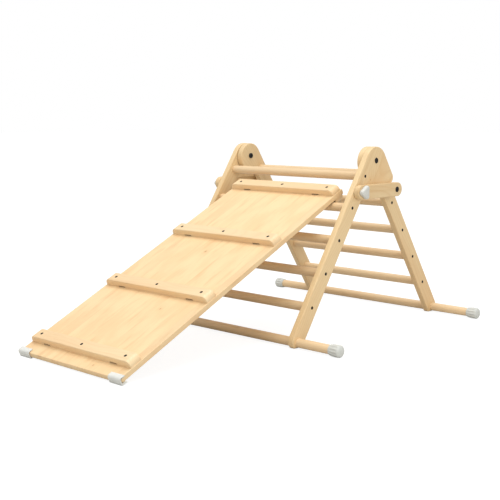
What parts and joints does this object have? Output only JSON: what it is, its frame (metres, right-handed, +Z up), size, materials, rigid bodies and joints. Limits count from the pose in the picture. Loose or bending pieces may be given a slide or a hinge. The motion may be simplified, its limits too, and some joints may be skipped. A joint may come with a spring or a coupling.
{
  "type": "toddler slide",
  "caption": "Folding wooden climbing frame for toddlers with a cleated slide board hooked onto a rung.",
  "frame": {"origin": "on the floor, at the middle of the bounding box's base", "axes": "+X along the rungs to the right-hand strap seen from the slide's right side, +Y from the slide's low end towards the rear ladder, +Z up"},
  "size_m": [0.922, 1.3946, 0.5893],
  "materials": {
    "rail_wood": "clear satin lacquer",
    "rung_wood": "clear satin lacquer",
    "board_wood": "edge-glued pine staves under clear satin lacquer",
    "cleat_wood": "clear satin lacquer",
    "foot_rubber": "matt light grey",
    "clip_rubber": "matt off-white",
    "pad_rubber": "matt dark grey",
    "knob_plastic": "soft satin light grey",
    "black_steel": "black oxide",
    "zinc_steel": "zinc plated",
    "brass": "machined"
  },
  "bodies": {
    "front_ladder": {"front_rail_right": "rail_wood", "front_rail_left": "rail_wood", "front_rung_1": "rung_wood", "front_rung_2": "rung_wood", "front_rung_3": "rung_wood", "front_rung_4": "rung_wood", "front_rung_5": "rung_wood", "front_foot_bar": "rung_wood", "front_foot_cap_right": "foot_rubber", "front_foot_cap_left": "foot_rubber", "front_rung_screws_right": "black_steel", "front_rung_screws_left": "black_steel", "hinge_bolt_right": "black_steel", "hinge_bolt_left": "black_steel", "hinge_nut_right": "black_steel", "hinge_nut_left": "black_steel", "hinge_washer_right": "zinc_steel", "hinge_washer_left": "zinc_steel", "knob_stud_right": "zinc_steel", "knob_stud_left": "zinc_steel"},
    "rear_ladder": {"rear_rail_right": "rail_wood", "rear_rail_left": "rail_wood", "rear_rung_1": "rung_wood", "rear_rung_2": "rung_wood", "rear_rung_3": "rung_wood", "rear_rung_4": "rung_wood", "rear_rung_5": "rung_wood", "rear_foot_bar": "rung_wood", "rear_foot_cap_right": "foot_rubber", "rear_foot_cap_left": "foot_rubber", "rear_rung_screws_right": "black_steel", "rear_rung_screws_left": "black_steel", "strap_spacer_right": "rail_wood", "strap_spacer_left": "rail_wood", "strap_bolt_right": "black_steel", "strap_bolt_left": "black_steel", "strap_insert_right": "brass", "strap_insert_left": "brass"},
    "strap_arm_right": {"strap_right": "rail_wood"},
    "strap_arm_left": {"strap_left": "rail_wood"},
    "knob_turn_right": {"knob_right": "knob_plastic", "knob_insert_right": "brass"},
    "knob_turn_left": {"knob_left": "knob_plastic", "knob_insert_left": "brass"},
    "slide": {"slide_board": "board_wood", "cleat_1": "cleat_wood", "cleat_2": "cleat_wood", "cleat_3": "cleat_wood", "cleat_4": "cleat_wood", "cleat_screws_1": "black_steel", "cleat_screws_2": "black_steel", "cleat_screws_3": "black_steel", "cleat_screws_4": "black_steel", "hook_batten": "cleat_wood", "rung_pad": "pad_rubber", "end_clip_right": "clip_rubber", "end_clip_left": "clip_rubber"}
  },
  "joints": [
    {"name": "frame_fold", "type": "hinge", "parent": "front_ladder", "child": "rear_ladder", "pos_m": [0, 0.29999, 0.54518], "axis": [-1, 0, 0], "range_deg": [0, 67]},
    {"name": "strap_swing_right", "type": "hinge", "parent": "rear_ladder", "child": "strap_arm_right", "pos_m": [0.306, 0.38815, 0.45004], "axis": [1, 0, 0], "range_deg": [0, 124]},
    {"name": "strap_swing_left", "type": "hinge", "parent": "rear_ladder", "child": "strap_arm_left", "pos_m": [-0.306, 0.38815, 0.45004], "axis": [1, 0, 0], "range_deg": [0, 124]},
    {"name": "knob_spin_right", "type": "hinge", "parent": "front_ladder", "child": "knob_turn_right", "pos_m": [0.32, 0.21183, 0.45004], "axis": [1, 0, 0], "continuous": true},
    {"name": "knob_spin_left", "type": "hinge", "parent": "front_ladder", "child": "knob_turn_left", "pos_m": [-0.32, 0.21183, 0.45004], "axis": [1, 0, 0], "continuous": true},
    {"name": "slide_lift", "type": "slide", "parent": "front_ladder", "child": "slide", "axis": [0, -0.4336, 0.9011], "range_m": [0, 0.1]}
  ],
  "couplings": [
    {"joint": "strap_swing_right", "follows": "frame_fold", "ratio": 1.8433},
    {"joint": "strap_swing_left", "follows": "frame_fold", "ratio": 1.8433}
  ]
}
